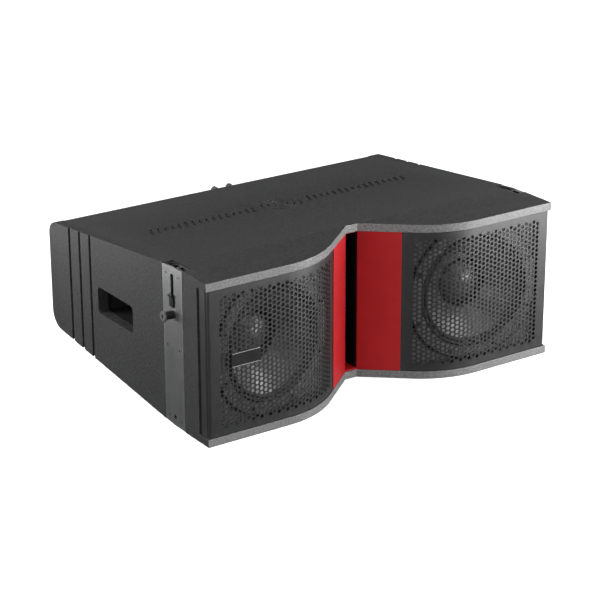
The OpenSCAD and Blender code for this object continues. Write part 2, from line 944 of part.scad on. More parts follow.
module countersunk_screws() {
    color(STEEL) placed() {
        for (side = [-1, 1], z = screw_zs, s = [-1, 1])
            on_side(side) translate([half_w, slot_mid + s * screw_off, z]) rotate([0, 90, 0]) screw(6);
        for (z = bracket_zs)
            translate([0, rear_d + 3, z]) rotate([-90, 0, 0]) screw(14);
        for (p = input_corners())
            translate([p[0], rear_d + 3, p[1]]) rotate([-90, 0, 0]) screw(14);
    }
}

// Holes for countersunk screws in a 3 mm plate on the rear panel
module rear_screw_hole(x, z) {
    translate([x, rear_d + 3, z]) rotate([-90, 0, 0]) rotate_extrude()
        polygon([[0, 1], [5.1, 1], [5.1, 0], [2.6, -2.5], [2.6, -5], [0, -5]]);
}

// Rear rigging

ear_back = 555;

module rear_bracket() {
    color(STEEL) placed() difference() {
        union() {
            block([-ear_out, rear_d, 62], [ear_out, rear_d + 3, front_h - 62]);
            for (side = [-1, 1])
                on_side(side) along_x(ear_in, ear_out) polygon([
                    [rear_d, 62], [lid_d + 1.5, 62], [lid_d + 1.5, 48], [ear_back - 6, 48], [ear_back, 54],
                    [ear_back, front_h - 50], [ear_back - 6, front_h - 44], [lid_d + 1.5, front_h - 44],
                    [lid_d + 1.5, front_h - 62], [rear_d, front_h - 62]
                ]);
        }
        for (z = [pin_low, pivot_z])
            x_rod(4, -ear_out - 1, ear_out + 1, pivot_d, z);
        for (z = bracket_zs)
            rear_screw_hole(0, z);
    }
}

link_len = 130;

// Arm that hangs between the ears, with a row of holes for the splay angles
module rear_link() {
    color(ZINC) placed() difference() {
        union() {
            block([-5, pivot_d - 8.5, pivot_z - link_len], [5, pivot_d + 8.5, pivot_z]);
            x_rod(8.5, -ear_in + 0.5, ear_in - 0.5, pivot_d, pivot_z);
            x_rod(8.5, -5, 5, pivot_d, pivot_z - link_len);
        }
        x_rod(4.06, -ear_in, ear_in, pivot_d, pivot_z);
        for (i = [0:4])
            x_rod(link_hole_r, -6, 6, pivot_d, pivot_z - link_len + i * 18);
    }
}

module rear_pivot_pin() {
    color(STEEL) placed() translate([0, pivot_d, pivot_z]) rotate([0, 90, 0]) rotate_extrude()
        polygon([
            [0, -ear_out - 3], [5, -ear_out - 3], [7, -ear_out - 1.5], [7, -ear_out], [4, -ear_out],
            [4, ear_out], [7, ear_out], [7, ear_out + 1.5], [5, ear_out + 3], [0, ear_out + 3]
        ]);
}

// Ball-lock pin parked in the lower hole, with a push button head and a pull ring
module rear_quick_pin() {
    color(STEEL) placed() {
        translate([0, pivot_d, pin_low]) rotate([0, 90, 0]) rotate_extrude()
            polygon([
                [0, -ear_out - 5], [2.6, -ear_out - 5], [3.94, -ear_out - 3], [3.94, ear_out + 0.5],
                [7.5, ear_out + 0.5], [7.5, ear_out + 12], [4, ear_out + 12],
                [3.5, ear_out + 15], [0, ear_out + 15]
            ]);
        translate([ear_out + 8, pivot_d, pin_low - 16]) rotate([0, 90, 0]) rotate_extrude()
            translate([9.6, 0]) circle(r = 1.2, $fn = 24);
    }
}

// Input plate, electrics and damping

socket_r = 9.8;
socket_body_r = 12;
socket_off = 24;   // distance of a socket from the middle of the plate

module input_plate() {
    color(DARK) placed() difference() {
        translate([input_x - input_w / 2, rear_d, input_z - input_h / 2]) cube([input_w, 3, input_h]);
        for (s = [-1, 1])
            translate([input_x + s * socket_off, rear_d - 1, input_z]) rotate([-90, 0, 0])
                cylinder(r = socket_body_r, h = 6);
        for (p = input_corners())
            rear_screw_hole(p[0], p[1]);
    }
}

module input_sockets() {
    color("#20242c") placed() for (s = [-1, 1])
        translate([input_x + s * socket_off, 0, input_z]) difference() {
            union() {
                block([-13, rear_d + 3, -15.5], [13, rear_d + 6, 15.5]);
                translate([0, rear_d - 22, 0]) rotate([-90, 0, 0]) cylinder(r = socket_body_r, h = 26);
            }
            translate([0, rear_d - 12, 0]) rotate([-90, 0, 0]) cylinder(r = socket_r, h = 20);
        }
}

board_x = brace_x + panel_t;

// Passive crossover on the outer face of the right brace: board, three coils, capacitors and resistors
module crossover() {
    color("#205030") placed() {
        block([board_x, 200, 78], [board_x + 2, 420, 100]);
        block([board_x + 4, 200, 70], [board_x + 6, 420, 230]);
        for (d = [206, 414], z = [82, 96])
            x_rod(2.5, board_x + 2, board_x + 4, d, z);
        for (d = [235, 300, 365])
            translate([board_x + 6, d, 195]) rotate([0, 90, 0]) difference() {
                cylinder(r = 26, h = 22);
                translate([0, 0, -1]) cylinder(r = 12, h = 24);
            }
        for (i = [0:3])
            translate([board_x + 14.5, 222 + i * 34, 126]) cylinder(r = 8.5, h = 34);
        for (i = [0:3])
            block([board_x + 6, 216 + i * 48, 92], [board_x + 18, 248 + i * 48, 104]);
    }
}

// Supply lead from the sockets to the board, and a lead from the board to each driver
module wiring() {
    supply = [
        [166, 498, 150], [166, 489, 150], [162, 474, 145], [152, 456, 138], [142, 440, 130],
        [135, 426, 122], [132, 414, 116], [131, 405, 112], [127, 402, 111], [121, 402, 111]
    ];
    woofer_right = [
        [121, 214, 84], [127, 214, 84], [132, 205, 78], [140, 190, 66], [156, 172, 56], [180, 152, 50],
        [204, 130, 47], [220, 112, 47], [228, 100, 49], [231.4, 94, 52]
    ];
    woofer_left = [
        [121, 412, 84], [127, 412, 84], [130, 421, 86], [124, 430, 89], [112, 433, 93],
        [98, 434, 97], [60, 436, 106], [0, 438, 110], [-60, 436, 108], [-100, 430, 102],
        [-124, 412, 94], [-136, 370, 80], [-150, 310, 66], [-168, 240, 56], [-190, 176, 50],
        [-212, 132, 47], [-226, 104, 49], [-231.4, 94, 52]
    ];
    tweeter = [
        [121, 402, 160], [127, 402, 160], [131, 412, 160], [125, 424, 160], [114, 429, 160], [98, 427, 160],
        [80, 410, 158], [64, 388, 154], [53, 366, 151], [52, 353, 150], [52, 344, 150]
    ];
    color("#602020") placed()
        for (path = [supply, woofer_right, woofer_left, tweeter])
            wire(path, 2.2, 8, [0, 0, 1]);
}

foam_t = 30;
foam_low = 70;

module damping_foam() {
    color("#404448") placed() {
        block(
            [-inner_x + 2, rear_d - panel_t - foam_t, foam_low],
            [-brace_x - panel_t - 2, rear_d - panel_t, front_h - foam_low]
        );
        for (side = [-1, 1])
            on_side(side)
                block([inner_x - 2 - foam_t, 395, foam_low], [inner_x - 2, 470, front_h - foam_low]);
    }
}

top_panel();
bottom_panel();
side_panel_left();
side_panel_right();
rear_panel();
baffle_left();
baffle_right();
brace_left();
brace_right();
handle_cup_left();
handle_cup_right();
grille_left();
grille_right();
badge_plate();
horn_flare();
waveguide();
compression_driver();
frame_left();
surround_left();
cone_left();
dust_cap_left();
spider_left();
voice_coil_left();
magnet_left();
motor_steel_left();
frame_right();
surround_right();
cone_right();
dust_cap_right();
spider_right();
voice_coil_right();
magnet_right();
motor_steel_right();
woofer_bolts();
rig_plate_left();
link_guide_left();
link_bar_left();
link_tab_left();
lock_bush_left();
lock_knob_left();
lock_plunger_left();
lock_spring_left();
rig_plate_right();
link_guide_right();
link_bar_right();
link_tab_right();
lock_bush_right();
lock_knob_right();
lock_plunger_right();
lock_spring_right();
countersunk_screws();
rear_bracket();
rear_link();
rear_pivot_pin();
rear_quick_pin();
input_plate();
input_sockets();
crossover();
wiring();
damping_foam();
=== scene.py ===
"""Looks of the waisted two-way line array speaker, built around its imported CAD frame.

Units are metres, -Y is the front and +Z is up.
"""

import json
from math import asin, atan2, cos, hypot, pi, radians, sin

import bmesh
import bpy
from mathutils import Matrix, Vector
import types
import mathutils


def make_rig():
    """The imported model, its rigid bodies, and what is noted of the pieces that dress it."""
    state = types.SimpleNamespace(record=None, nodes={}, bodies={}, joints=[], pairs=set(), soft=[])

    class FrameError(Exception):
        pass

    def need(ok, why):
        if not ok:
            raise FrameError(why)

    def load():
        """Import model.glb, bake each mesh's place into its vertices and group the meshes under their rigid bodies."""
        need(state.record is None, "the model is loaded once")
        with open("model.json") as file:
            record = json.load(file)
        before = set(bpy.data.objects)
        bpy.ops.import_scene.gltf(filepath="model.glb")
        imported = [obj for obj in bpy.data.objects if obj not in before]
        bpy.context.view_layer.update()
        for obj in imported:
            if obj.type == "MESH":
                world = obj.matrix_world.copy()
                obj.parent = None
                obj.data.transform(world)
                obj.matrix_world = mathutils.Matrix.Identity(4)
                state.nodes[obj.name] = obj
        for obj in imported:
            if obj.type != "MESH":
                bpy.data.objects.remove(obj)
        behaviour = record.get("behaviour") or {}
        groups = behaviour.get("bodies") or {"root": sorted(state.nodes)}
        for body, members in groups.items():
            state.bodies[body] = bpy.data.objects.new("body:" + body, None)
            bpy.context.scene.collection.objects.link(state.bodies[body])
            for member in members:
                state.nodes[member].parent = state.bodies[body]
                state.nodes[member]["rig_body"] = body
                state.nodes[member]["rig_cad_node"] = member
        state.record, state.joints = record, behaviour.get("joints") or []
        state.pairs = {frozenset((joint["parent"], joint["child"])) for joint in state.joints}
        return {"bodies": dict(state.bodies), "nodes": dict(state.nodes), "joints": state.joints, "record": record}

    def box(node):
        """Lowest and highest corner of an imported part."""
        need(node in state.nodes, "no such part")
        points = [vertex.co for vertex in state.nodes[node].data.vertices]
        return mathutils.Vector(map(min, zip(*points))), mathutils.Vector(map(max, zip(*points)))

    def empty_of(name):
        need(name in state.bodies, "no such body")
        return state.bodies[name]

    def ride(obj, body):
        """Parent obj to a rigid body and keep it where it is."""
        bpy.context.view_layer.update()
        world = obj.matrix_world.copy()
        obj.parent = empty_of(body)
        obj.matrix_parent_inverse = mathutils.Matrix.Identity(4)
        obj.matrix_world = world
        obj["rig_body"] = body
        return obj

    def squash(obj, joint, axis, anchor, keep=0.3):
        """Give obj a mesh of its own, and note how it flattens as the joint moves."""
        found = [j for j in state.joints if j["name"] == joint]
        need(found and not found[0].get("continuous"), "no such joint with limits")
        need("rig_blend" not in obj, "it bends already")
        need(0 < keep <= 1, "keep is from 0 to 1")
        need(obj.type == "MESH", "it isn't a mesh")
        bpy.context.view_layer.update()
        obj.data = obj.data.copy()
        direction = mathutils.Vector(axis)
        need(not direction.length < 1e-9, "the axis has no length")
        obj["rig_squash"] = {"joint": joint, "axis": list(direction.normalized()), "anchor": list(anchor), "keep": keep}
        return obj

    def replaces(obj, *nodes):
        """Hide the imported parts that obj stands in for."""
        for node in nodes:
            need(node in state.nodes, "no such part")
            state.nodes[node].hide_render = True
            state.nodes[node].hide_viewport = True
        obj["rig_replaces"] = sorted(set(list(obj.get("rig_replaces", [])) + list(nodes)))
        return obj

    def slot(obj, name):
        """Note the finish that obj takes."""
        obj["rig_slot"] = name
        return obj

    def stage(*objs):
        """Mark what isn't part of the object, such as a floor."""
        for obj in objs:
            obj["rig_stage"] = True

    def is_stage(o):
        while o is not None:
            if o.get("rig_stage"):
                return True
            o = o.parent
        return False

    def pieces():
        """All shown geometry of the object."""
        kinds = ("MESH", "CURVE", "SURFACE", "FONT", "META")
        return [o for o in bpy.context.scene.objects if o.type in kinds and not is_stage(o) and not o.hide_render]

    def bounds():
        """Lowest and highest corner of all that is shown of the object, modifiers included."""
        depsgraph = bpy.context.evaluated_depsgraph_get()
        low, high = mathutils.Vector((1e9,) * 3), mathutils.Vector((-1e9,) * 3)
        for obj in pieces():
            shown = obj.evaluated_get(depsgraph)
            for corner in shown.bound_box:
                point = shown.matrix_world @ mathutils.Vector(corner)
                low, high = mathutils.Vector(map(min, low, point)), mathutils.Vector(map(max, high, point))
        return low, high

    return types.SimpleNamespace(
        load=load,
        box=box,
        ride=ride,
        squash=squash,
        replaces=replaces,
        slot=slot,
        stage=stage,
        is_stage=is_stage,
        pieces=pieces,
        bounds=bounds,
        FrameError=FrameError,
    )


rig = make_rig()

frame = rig.load()
cad_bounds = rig.bounds()
NODE_SLOT = {name: obj.data.materials[0].name for name, obj in frame["nodes"].items()}

MM = 0.001

# Driving dimensions, from the frame

panel_low, panel_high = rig.box("top_panel")
grille_low, grille_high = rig.box("grille_right")
FRONT = panel_low.y                       # y of the front edge
HEIGHT = panel_high.z
INNER_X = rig.box("rear_panel")[1].x       # inner face of a side panel
LIP = 30 * MM                             # depth over which top and bottom reach the full width

# Plan of the front, as in the CAD source: a flank, a round lobe and a flat end beside the notch
LOBE_R = 180 * MM
LOBE_X = 207.75 * MM
NOTCH_W = 25 * MM
NOTCH_D = 108 * MM
LOBE_FROM_NOTCH = (LOBE_X - NOTCH_W / 2, LOBE_R - NOTCH_D)
FLANK = asin(LOBE_R / hypot(*LOBE_FROM_NOTCH)) - atan2(LOBE_FROM_NOTCH[1], LOBE_FROM_NOTCH[0])


# Camera, floor and light

CAMERA_AZIMUTH = -34.121      # degrees from the front, positive towards +X
CAMERA_ELEVATION = 21.28
CAMERA_ROLL = -0.18
CAMERA_PLACE = (-2.106, -3.113, 1.564)
CAMERA_LENS = 128.27
FLOOR_SIZE = 300              # so wide that its far edge is at the horizon
FLOOR_GAP = 0.5 * MM


def towards(azimuth, elevation):
    """Unit vector away from the speaker, from an azimuth off the front and an elevation in degrees."""
    a, e = radians(azimuth), radians(elevation)
    return Vector((sin(a) * cos(e), -cos(a) * cos(e), sin(e)))


def add_camera():
    back = towards(CAMERA_AZIMUTH, CAMERA_ELEVATION)
    right = (-back).cross(Vector((0, 0, 1))).normalized()
    up = back.cross(right)
    axes = Matrix((right, up, back)).transposed() @ Matrix.Rotation(radians(CAMERA_ROLL), 3, "Z")
    data = bpy.data.cameras.new("camera")
    data.sensor_width = 36
    data.lens = CAMERA_LENS
    camera = bpy.data.objects.new("camera", data)
    camera.matrix_world = Matrix.Translation(CAMERA_PLACE) @ axes.to_4x4()
    bpy.context.scene.collection.objects.link(camera)
    bpy.context.scene.camera = camera


def add_area(name, azimuth, elevation, distance, size, power, target=(0, -0.1, 0.15)):
    direction = towards(azimuth, elevation)
    data = bpy.data.lights.new(name, "AREA")
    data.shape = "RECTANGLE"
    data.size, data.size_y = size
    data.energy = power
    light = bpy.data.objects.new(name, data)
    light.location = Vector(target) + direction * distance
    light.rotation_euler = direction.to_track_quat("Z", "Y").to_euler()
    light.visible_camera = False
    bpy.context.scene.collection.objects.link(light)


def add_sun(name, azimuth, elevation, strength, spread):
    data = bpy.data.lights.new(name, "SUN")
    data.energy = strength
    data.angle = radians(spread)
    light = bpy.data.objects.new(name, data)
    light.rotation_euler = towards(azimuth, elevation).to_track_quat("Z", "Y").to_euler()
    bpy.context.scene.collection.objects.link(light)


def add_lights():
    """A high key and soft fills, with two low cards that the upright faces mirror towards the camera."""
    add_sun("top", 8, 52, 1.0, 40)
    add_area("key", 66, 34, 1.8, (1.2, 0.9), 42, (0.25, -0.2, 0.15))
    add_area("front_card", 37, 2, 1.1, (0.9, 0.16), 12, (0.24, -0.28, 0.12))
    add_area("fill_left", -122, 34, 1.2, (0.5, 0.5), 14, (-0.4, 0.1, 0.25))
    add_area("fill_front", -58, 16, 2.2, (1.1, 1.1), 13)
    add_area("side_card", -145, 4, 0.62, (0.6, 0.12), 1.2, (-0.38, -0.17, 0.17))


def add_world(strength):
    world = bpy.data.worlds.new("studio")
    world.use_nodes = True
    background = world.node_tree.nodes["Background"]
    background.inputs["Color"].default_value = (0.96, 0.975, 1.0, 1)
    background.inputs["Strength"].default_value = strength
    bpy.context.scene.world = world


def add_floor():
    """Pale floor that glows evenly, and neither lights the speaker nor shows in its gloss."""
    bpy.ops.mesh.primitive_plane_add(size=FLOOR_SIZE, location=(0, 0, cad_bounds[0][2] - FLOOR_GAP))
    floor = bpy.context.object
    floor.name = "studio_floor"
    mat = bpy.data.materials.new("floor_pale")
    mat.use_nodes = True
    shader = mat.node_tree.nodes["Principled BSDF"]
    shader.inputs["Base Color"].default_value = (0.9, 0.9, 0.9, 1)
    shader.inputs["Roughness"].default_value = 0.9
    shader.inputs["Specular IOR Level"].default_value = 0.1
    shader.inputs["Emission Color"].default_value = (1, 1, 1, 1)
    shader.inputs["Emission Strength"].default_value = 0.6
    floor.visible_diffuse = False
    floor.visible_glossy = False
    floor.data.materials.append(mat)
    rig.stage(floor)


# Materials

class Finish:
    """A node material with a Principled shader; its methods add detail in object coordinates."""

    def __init__(self, name, color, rough, metal=0.0, specular=0.5):
        self.mat = bpy.data.materials.new(name)
        self.mat.use_nodes = True
        self.nodes = self.mat.node_tree.nodes
        self.links = self.mat.node_tree.links
        self.shader = self.nodes["Principled BSDF"]
        self.shader.inputs["Base Color"].default_value = (*color, 1)
        self.shader.inputs["Roughness"].default_value = rough
        self.shader.inputs["Metallic"].default_value = metal
        self.shader.inputs["Specular IOR Level"].default_value = specular
        self.coords = self.nodes.new("ShaderNodeTexCoord").outputs["Object"]
        self.normal = None

    def set(self, **values):
        for key, value in values.items():
            self.shader.inputs[key.replace("_", " ")].default_value = value
        return self

    def stretched(self, scale):
        node = self.nodes.new("ShaderNodeMapping")
        node.inputs["Scale"].default_value = scale
        self.links.new(self.coords, node.inputs["Vector"])
        return node.outputs["Vector"]

    def noise(self, scale, detail=3.0, rough=0.55, stretch=None):
        node = self.nodes.new("ShaderNodeTexNoise")
        node.inputs["Scale"].default_value = scale
        node.inputs["Detail"].default_value = detail
        node.inputs["Roughness"].default_value = rough
        self.links.new(self.stretched(stretch) if stretch else self.coords, node.inputs["Vector"])
        return node.outputs["Fac"]

    def cells(self, scale, feature="F1"):
        node = self.nodes.new("ShaderNodeTexVoronoi")
        node.feature = feature
        node.inputs["Scale"].default_value = scale
        self.links.new(self.coords, node.inputs["Vector"])
        return node.outputs["Distance"]

    def wave(self, scale, direction="X", distortion=0.0):
        node = self.nodes.new("ShaderNodeTexWave")
        node.bands_direction = direction
        node.inputs["Scale"].default_value = scale
        node.inputs["Distortion"].default_value = distortion
        self.links.new(self.coords, node.inputs["Vector"])
        return node.outputs["Fac"]

    def axis(self, name):
        node = self.nodes.new("ShaderNodeSeparateXYZ")
        self.links.new(self.coords, node.inputs["Vector"])
        return node.outputs[name]

    def remap(self, value, low, high, to_low=0.0, to_high=1.0):
        node = self.nodes.new("ShaderNodeMapRange")
        for key, number in zip(("From Min", "From Max", "To Min", "To Max"), (low, high, to_low, to_high)):
            node.inputs[key].default_value = number
        self.links.new(value, node.inputs["Value"])
        return node.outputs["Result"]

    def math(self, kind, a, b):
        node = self.nodes.new("ShaderNodeMath")
        node.operation = kind
        for socket, value in zip(node.inputs, (a, b)):
            if isinstance(value, (int, float)):
                socket.default_value = value
            else:
                self.links.new(value, socket)
        return node.outputs["Value"]

    def edges(self, low=0.52, high=0.6):
        """Near 1 on outer edges, where a finish wears thin."""
        node = self.nodes.new("ShaderNodeNewGeometry")
        return self.remap(node.outputs["Pointiness"], low, high)

    def tint(self, fac, color_a, color_b, low=0.35, high=0.65):
        ramp = self.nodes.new("ShaderNodeValToRGB")
        ramp.color_ramp.elements[0].position = low
        ramp.color_ramp.elements[1].position = high
        ramp.color_ramp.elements[0].color = (*color_a, 1)
        ramp.color_ramp.elements[1].color = (*color_b, 1)
        self.links.new(fac, ramp.inputs["Fac"])
        self.links.new(ramp.outputs["Color"], self.shader.inputs["Base Color"])
        return self

    def over(self, fac, color):
        """Lays a colour over what the base colour is now, where fac is near 1."""
        mix = self.nodes.new("ShaderNodeMix")
        mix.data_type = "RGBA"
        base = self.shader.inputs["Base Color"]
        if base.is_linked:
            self.links.new(base.links[0].from_socket, mix.inputs["A"])
        else:
            mix.inputs["A"].default_value = base.default_value
        mix.inputs["B"].default_value = (*color, 1)
        self.links.new(fac, mix.inputs["Factor"])
        self.links.new(mix.outputs["Result"], base)
        return self

    def roughen(self, fac, low, high):
        self.links.new(self.remap(fac, 0.3, 0.7, low, high), self.shader.inputs["Roughness"])
        return self

    def bump(self, height, distance, strength=1.0):
        node = self.nodes.new("ShaderNodeBump")
        node.inputs["Distance"].default_value = distance
        node.inputs["Strength"].default_value = strength
        self.links.new(height, node.inputs["Height"])
        if self.normal:
            self.links.new(self.normal, node.inputs["Normal"])
        self.normal = node.outputs["Normal"]
        self.links.new(self.normal, self.shader.inputs["Normal"])
        return self


def grey(value):
    return (value, value, value)


def textured_paint(name, dark, light, grain, depth, rough, specular=0.4):
    """Sprayed speaker paint: small hard pebbles over a softer mottle."""
    f = Finish(name, grey(dark), rough, specular=specular)
    pebbles = f.noise(grain, 2.0, 0.7)
    coarse = f.noise(grain * 0.42, 3.0, 0.6)
    mixed = f.math("ADD", f.math("MULTIPLY", pebbles, 0.5), f.math("MULTIPLY", coarse, 0.5))
    f.tint(mixed, grey(dark), grey(light), 0.4, 0.62)
    f.over(f.math("MULTIPLY", f.edges(0.53, 0.62), 0.25), grey(light * 1.5))
    f.roughen(pebbles, rough - 0.08, rough + 0.1)
    f.bump(coarse, depth * 1.6)
    f.bump(pebbles, depth)
    return f.mat


def red_lacquer():
    f = Finish("red_lacquer", (0.38, 0.006, 0.009), 0.45, specular=0.3)
    mottle = f.noise(28, 3.0)
    f.tint(mottle, (0.36, 0.005, 0.008), (0.41, 0.008, 0.011), 0.3, 0.7)
    f.over(f.math("MULTIPLY", f.edges(), 0.3), (0.62, 0.06, 0.06))
    f.roughen(f.noise(180, 4.0), 0.4, 0.52)
    f.bump(f.noise(650, 2.0), 0.00004)
    return f.mat


def slot_red():
    """The slot's side walls, painted as shade: dark red at the mouth, black deeper inside, where shade falls in the
    narrow slot.
    """
    f = Finish("slot_red", (0.06, 0.004, 0.005), 0.6, specular=0.25)
    # painted shade: the wall goes from dark red to black the deeper it is in the slot
    inward = f.remap(f.axis("Y"), FRONT + NOTCH_D, FRONT + NOTCH_D + 9 * MM)
    f.tint(f.math("ADD", inward, f.remap(f.noise(160, 3.0), 0, 1, -0.12, 0.12)),
           (0.07, 0.004, 0.006), (0.006, 0.003, 0.003), 0.05, 0.9)
    f.bump(f.noise(700, 2.0), 0.00005)
    return f.mat


def satin_coat(name, color, rough, grain=900, specular=0.5):
    """Thin powder coat on sheet metal."""
    f = Finish(name, color, rough, specular=specular)
    fine = f.noise(grain, 2.0, 0.6)
    f.tint(f.noise(45, 4.0), [c * 0.85 for c in color], [c * 1.2 for c in color], 0.3, 0.7)
    f.over(f.math("MULTIPLY", f.edges(0.54, 0.66), 0.35), [min(1, c * 3 + 0.03) for c in color])
    f.roughen(f.noise(120, 4.0), rough - 0.05, rough + 0.08)
    f.bump(fine, 0.00005)
    return f.mat


def brushed_metal(name, color, rough, stretch):
    """Rolled or turned metal with fine lines, which run across the axis that stretch is largest on."""
    f = Finish(name, color, rough, metal=1.0)
    lines = f.noise(120, 5.0, 0.65, stretch)
    f.tint(lines, [c * 0.82 for c in color], [min(1, c * 1.12) for c in color], 0.3, 0.7)
    f.over(f.math("MULTIPLY", f.edges(), 0.4), [min(1, c * 1.5) for c in color])
    blotches = f.noise(35, 3.0)
    f.roughen(f.math("ADD", f.math("MULTIPLY", lines, 0.6), f.math("MULTIPLY", blotches, 0.4)),
              rough - 0.07, rough + 0.09)
    f.bump(lines, 0.00002)
    return f.mat


def moulded(name, color, rough, grain=520, depth=0.00009):
    """Moulded plastic or rubber with an eroded skin."""
    f = Finish(name, color, rough, specular=0.4)
    skin = f.cells(grain)
    f.tint(f.noise(60, 4.0), [c * 0.8 for c in color], [c * 1.25 for c in color], 0.3, 0.7)
    f.over(f.math("MULTIPLY", f.edges(), 0.25), [min(1, c * 2 + 0.02) for c in color])
    f.roughen(f.noise(200, 3.0), rough - 0.06, rough + 0.08)
    f.bump(skin, depth)
    return f.mat


def cone_paper():
    """Pressed paper: short fibres, slight clouding and a thin gloss dressing."""
    f = Finish("cone_paper", grey(0.09), 0.34, specular=1.0)
    f.set(Coat_Weight=1.0, Coat_Roughness=0.34)
    fibres = f.noise(420, 6.0, 0.7, (1, 1, 3.2))
    clouds = f.noise(38, 4.0)
    f.tint(f.math("ADD", f.math("MULTIPLY", fibres, 0.5), f.math("MULTIPLY", clouds, 0.5)),
           grey(0.06), grey(0.14), 0.35, 0.65)
    f.roughen(fibres, 0.3, 0.44)
    f.bump(fibres, 0.00012)
    f.bump(clouds, 0.0002)
    return f.mat


def spider_cloth():
    f = Finish("spider_cloth", (0.45, 0.27, 0.06), 0.85, specular=0.2)
    weave = f.math("MULTIPLY", f.wave(420, "X"), f.wave(420, "Z"))
    f.tint(weave, (0.3, 0.17, 0.035), (0.55, 0.35, 0.1), 0.1, 0.8)
    f.bump(weave, 0.00015)
    return f.mat


def copper_coil():
    f = Finish("coil_copper", (0.72, 0.28, 0.12), 0.3, metal=1.0)
    turns = f.wave(700, "Y")
    f.tint(turns, (0.4, 0.13, 0.05), (0.8, 0.34, 0.16), 0.1, 0.8)
    f.bump(turns, 0.0001)
    return f.mat


def birch_ply():
    """Plies in the thickness, long grain on the faces."""
    f = Finish("birch_ply", (0.5, 0.34, 0.2), 0.7, specular=0.3)
    grain = f.noise(28, 6.0, 0.6, (6, 1, 0.6))
    plies = f.wave(210, "X", 0.4)
    mixed = f.math("ADD", f.math("MULTIPLY", grain, 0.75), f.math("MULTIPLY", plies, 0.25))
    f.tint(mixed, (0.34, 0.2, 0.1), (0.62, 0.44, 0.27), 0.25, 0.75)
    f.bump(grain, 0.0003)
    return f.mat


def circuit_board():
    f = Finish("circuit_board", (0.02, 0.12, 0.05), 0.35, specular=0.5)
    tracks = f.cells(90, "DISTANCE_TO_EDGE")
    f.tint(tracks, (0.03, 0.2, 0.08), (0.012, 0.08, 0.03), 0.02, 0.08)
    f.bump(tracks, 0.0001)
    return f.mat


def wadding():
    f = Finish("wadding", grey(0.12), 0.95, specular=0.1)
    fluff = f.noise(90, 8.0, 0.75)
    f.tint(fluff, grey(0.05), grey(0.22), 0.3, 0.7)
    f.set(Sheen_Weight=0.4)
    f.bump(fluff, 0.004)
    return f.mat


FINISHES = {
    "cabinet_paint": textured_paint("textured_paint", 0.014, 0.046, 520, 0.0004, 0.6),
    # front edges: a lighter copy of the cabinet paint, painted light from the front, with a speckle of its own and more
    # gloss
    "edge_paint": textured_paint("edge_paint", 0.085, 0.28, 760, 0.0004, 0.42, 1.0),
    "baffle_paint": textured_paint("baffle_paint", 0.09, 0.15, 520, 0.0003, 0.6),
    "plywood": birch_ply(),
    "moulded_black": moulded("moulded_black", grey(0.012), 0.5),
    "grille_paint": satin_coat("grille_coat", grey(0.012), 0.4, specular=1.0),
    "badge": satin_coat("badge_black", grey(0.012), 0.35),
    "badge_line": satin_coat("badge_line", grey(0.45), 0.35),
    "red_paint": red_lacquer(),
    "slot_red": slot_red(),
    "frame_metal": satin_coat("frame_coat", grey(0.15), 0.4, 500),
    # black ring around each woofer frame, painted shadow of the gap at the baffle
    "gasket": moulded("gasket", grey(0.004), 0.8),
    "cast_black": satin_coat("cast_black", grey(0.03), 0.5, 420),
    "black_metal": satin_coat("black_coat", grey(0.035), 0.5, 500),
    "surround_foam": moulded("surround_foam", grey(0.055), 0.5, 900, 0.00006),
    "cone_paper": cone_paper(),
    # near-black ring on the cone around the dust cap, painted shade
    "cone_neck": moulded("cone_neck", grey(0.006), 0.7),
    "spider_cloth": spider_cloth(),
    "coil_copper": copper_coil(),
    "ferrite": moulded("ferrite", grey(0.03), 0.55, 300, 0.0001),
    "plain_steel": brushed_metal("plain_steel", grey(0.3), 0.4, (20, 1, 1)),
    "rig_steel": brushed_metal("rig_steel", grey(0.34), 0.42, (1, 26, 1)),
    "zinc": brushed_metal("zinc_plate", (0.42, 0.42, 0.41), 0.38, (4, 4, 1)),
    "knob_black": satin_coat("knob_black", grey(0.004), 0.42),
    "knob_cap": satin_coat("knob_cap", grey(0.1), 0.5),
    # channels inside the link guides, painted shade
    "guide_inside": moulded("guide_inside", grey(0.006), 0.8),
    "circuit_board": circuit_board(),
    "wire_cover": moulded("wire_cover", (0.12, 0.012, 0.012), 0.45),
    "wadding": wadding(),
}


# Mesh helpers

def link_mesh(name, mesh, *finishes):
    obj = bpy.data.objects.new(name, mesh)
    bpy.context.scene.collection.objects.link(obj)
    for finish in finishes:
        mesh.materials.append(FINISHES[finish])
    return obj


def finish_mesh(bm, name, *finishes, sharp=30):
    """Object from a bmesh: smooth where it curves, sharp past an angle, with flat faces kept flat."""
    for face in bm.faces:
        face.smooth = True
    mesh = bpy.data.meshes.new(name)
    bm.to_mesh(mesh)
    bm.free()
    mesh.set_sharp_from_angle(angle=radians(sharp))
    obj = link_mesh(name, mesh, *finishes)
    weighted = obj.modifiers.new("flat_faces", "WEIGHTED_NORMAL")
    weighted.keep_sharp = True
    return obj


def stand_in(obj, node):
    """obj rides on a CAD node's body, replaces it and takes its finish slot."""
    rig.ride(obj, frame["nodes"][node]["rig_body"])
    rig.replaces(obj, node)
    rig.slot(obj, NODE_SLOT[node])
    return obj


WELD = 5e-6                   # points closer than this are one point
FLAT_ANGLE = radians(0.1)     # faces that meet at less than this are one face
CORNER_ANGLE = radians(30)    # edges sharper than this are rounded off


